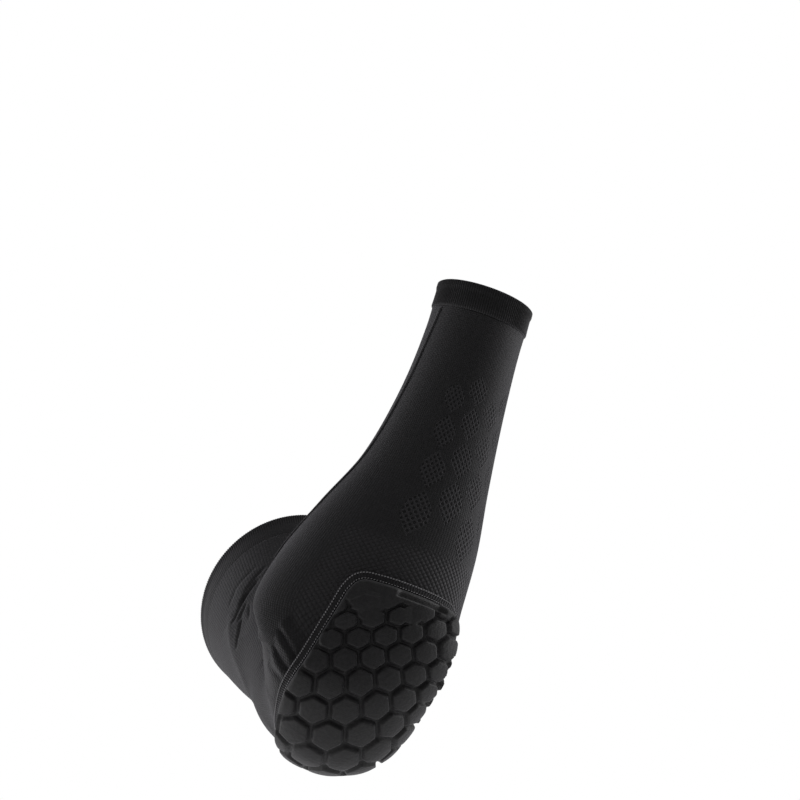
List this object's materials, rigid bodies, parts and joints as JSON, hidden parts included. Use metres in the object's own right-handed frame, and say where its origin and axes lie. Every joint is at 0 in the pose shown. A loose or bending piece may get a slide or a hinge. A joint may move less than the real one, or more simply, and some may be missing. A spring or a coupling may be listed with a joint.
{
  "type": "shooter sleeve",
  "caption": "Long knitted arm sleeve in its worn, bent form, with a raised honeycomb pad over the point of the elbow, a flat sewn band round the pad and a ribbed band at each end",
  "frame": {"origin": "middle of the elbow hollow, on the axis of the forearm", "axes": "+Z along the forearm toward the wrist, -Y out through the point of the elbow and its pad, +Y and up along the upper arm, -X toward the thumb side"},
  "size_m": [0.1332, 0.2436, 0.3017],
  "materials": {
    "body_knit": "fine black knit with a soft sheen",
    "rib_knit": "black ribbed knit",
    "pad_cloth": "smooth black cloth moulded over foam cells",
    "seam_tape": "black stretch band with fine stitching"
  },
  "bodies": {
    "root": {"sleeve_body": "body_knit", "wrist_cuff": "rib_knit", "upper_cuff": "rib_knit", "elbow_pad": "pad_cloth", "pad_seam": "seam_tape", "length_seam": "seam_tape"}
  },
  "joints": []
}
